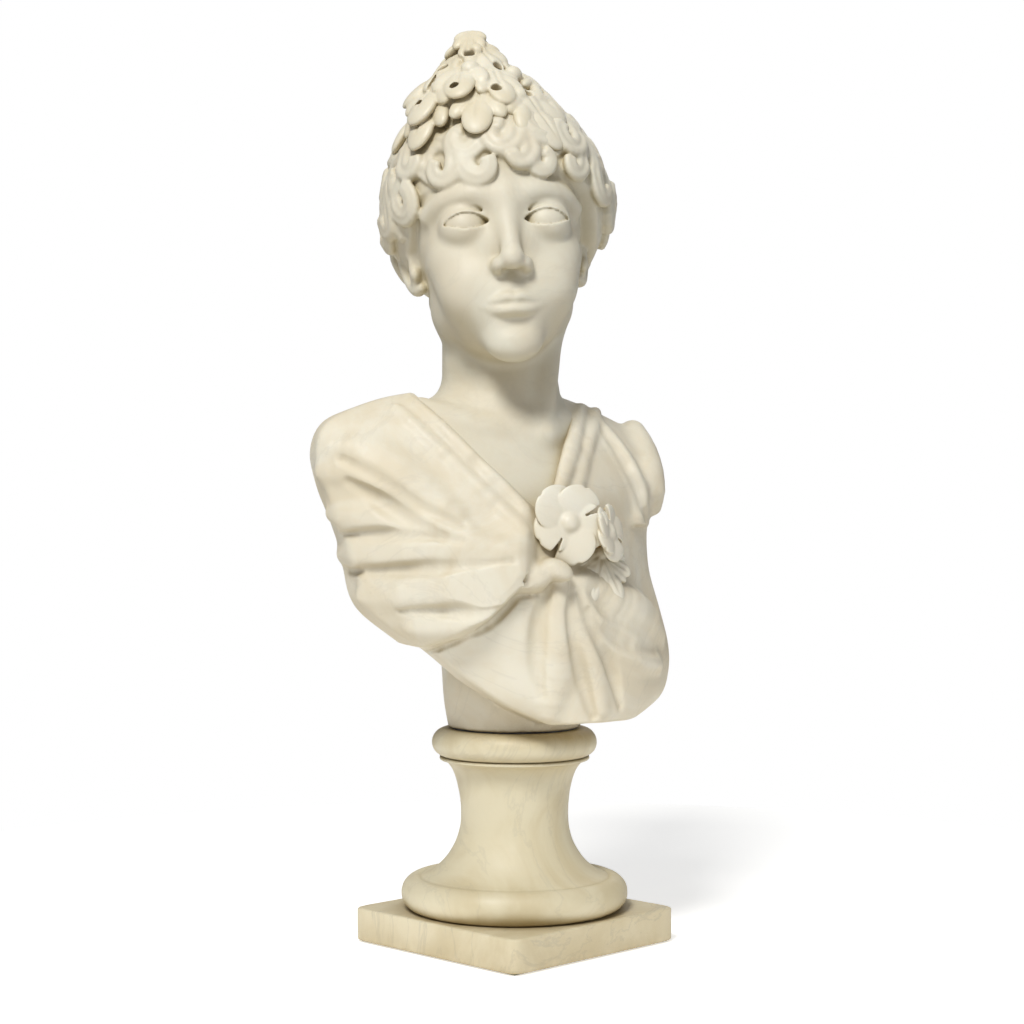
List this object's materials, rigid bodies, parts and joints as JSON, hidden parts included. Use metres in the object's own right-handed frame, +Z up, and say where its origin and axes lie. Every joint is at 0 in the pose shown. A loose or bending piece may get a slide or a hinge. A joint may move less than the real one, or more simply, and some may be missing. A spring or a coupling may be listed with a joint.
{
  "type": "marble bust",
  "caption": "Marble bust of a draped figure with leaves in the hair, pinned on a waisted round socle with a square plinth.",
  "frame": {"origin": "middle of the underside of the square base, on the axis of the socle and of the pin that the bust turns on", "axes": "+Z up along the pin, the sitter looks along -Y, +X towards the sitter's left; the square plinth stands with a corner towards -Y"},
  "size_m": [0.2178, 0.1964, 0.5549],
  "materials": {
    "statuary_marble": "smooth satin white marble",
    "drapery_marble": "satin cream-white marble with a light warm patina",
    "socle_marble": "honed warm cream marble",
    "brass": "dull turned brass",
    "iron": "black wrought iron",
    "lead": "dull grey lead sheet",
    "felt": "green wool felt"
  },
  "bodies": {
    "socle": {"base_felt": "felt", "plinth": "socle_marble", "plinth_washer": "iron", "plinth_nut": "iron", "tie_rod": "iron", "socle": "socle_marble", "socle_sleeve": "brass", "bearing_washer": "lead"},
    "pin": {"turning_pin": "brass"},
    "bust": {"bust_sleeve": "brass", "draped_bust": "drapery_marble", "neck_dowel": "iron", "head": "statuary_marble", "hair_spray": "drapery_marble", "hair_spray_peg": "brass", "corsage_blossom": "statuary_marble", "corsage_blossom_peg": "brass", "corsage_side_blossom": "statuary_marble", "corsage_side_peg": "brass", "corsage_leaves": "statuary_marble"}
  },
  "joints": [
    {"name": "bust_turn", "type": "hinge", "parent": "socle", "child": "pin", "pos_m": [0, 0, 0.131], "axis": [0, 0, 1], "continuous": true},
    {"name": "bust_lift", "type": "slide", "parent": "pin", "child": "bust", "axis": [0, 0, 1], "range_m": [0, 0.08]}
  ]
}
